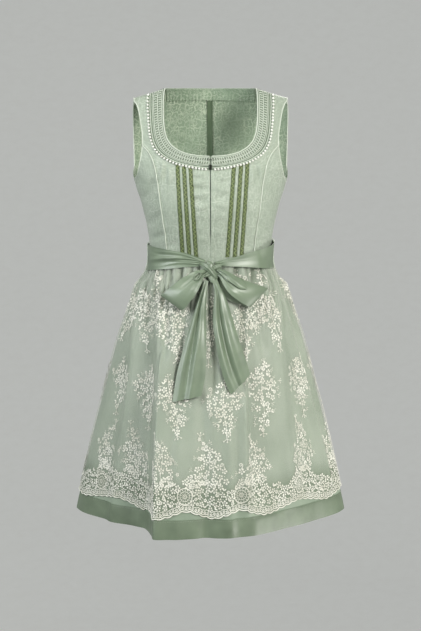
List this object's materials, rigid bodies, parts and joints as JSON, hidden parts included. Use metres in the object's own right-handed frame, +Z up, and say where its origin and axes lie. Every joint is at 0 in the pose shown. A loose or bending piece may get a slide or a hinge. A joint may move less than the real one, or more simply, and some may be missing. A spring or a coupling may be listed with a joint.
{
  "type": "sleeveless mini dress",
  "caption": "Sleeveless mini dress with a scooped front neckline, a front zip, a gathered skirt under embroidered tulle, and a sash tied in a bow at the front waist.",
  "frame": {"origin": "midway between the two points where the shoulder seams meet the neck, where the wearer's shoulders hold the dress up", "axes": "+Z up, the front faces -Y, +X to the right of someone who looks at the front"},
  "size_m": [0.5866, 0.4568, 0.9078],
  "materials": {
    "sage_jacquard": "woven cotton jacquard with a tone on tone floral figure",
    "facing": "jacquard, inside of the cloth",
    "braid": "embroidered braid with pearls along its lower edge",
    "piping": "fine satin piping",
    "olive_ribbon": "narrow woven ribbon with a small figure",
    "underskirt": "cotton sateen",
    "hem_satin": "satin",
    "embroidered_tulle": "tulle embroidered with cream flower sprays",
    "sash_satin": "polyester satin",
    "zip_tape": "woven zip tape",
    "zip_metal": "dark plated die casting"
  },
  "bodies": {
    "dress": {"front_left": "sage_jacquard", "front_right": "sage_jacquard", "side_front_left": "sage_jacquard", "side_front_right": "sage_jacquard", "back_left": "sage_jacquard", "back_right": "sage_jacquard", "back_neck_facing": "facing", "neck_band_left": "braid", "neck_band_right": "braid", "piping_left": "piping", "piping_right": "piping", "ribbon_left_1": "olive_ribbon", "ribbon_left_2": "olive_ribbon", "ribbon_left_3": "olive_ribbon", "ribbon_right_1": "olive_ribbon", "ribbon_right_2": "olive_ribbon", "ribbon_right_3": "olive_ribbon", "underskirt_front": "underskirt", "underskirt_back": "underskirt", "hem_band_front": "hem_satin", "hem_band_back": "hem_satin", "overlay_front": "embroidered_tulle", "overlay_back": "embroidered_tulle", "belt": "sash_satin", "belt_loop_left": "sash_satin", "belt_loop_right": "sash_satin", "knot": "sash_satin", "bow_loop_left": "sash_satin", "bow_loop_right": "sash_satin", "tail_left": "sash_satin", "tail_right": "sash_satin", "zip_tape": "zip_tape", "zip_slider": "zip_metal"},
    "zip_tab": {"zip_tab": "zip_metal"}
  },
  "joints": [
    {"name": "tab_swing", "type": "hinge", "parent": "dress", "child": "zip_tab", "pos_m": [0, -0.11902, -0.16115], "axis": [-1, 0, 0], "range_deg": [0, 150]}
  ]
}
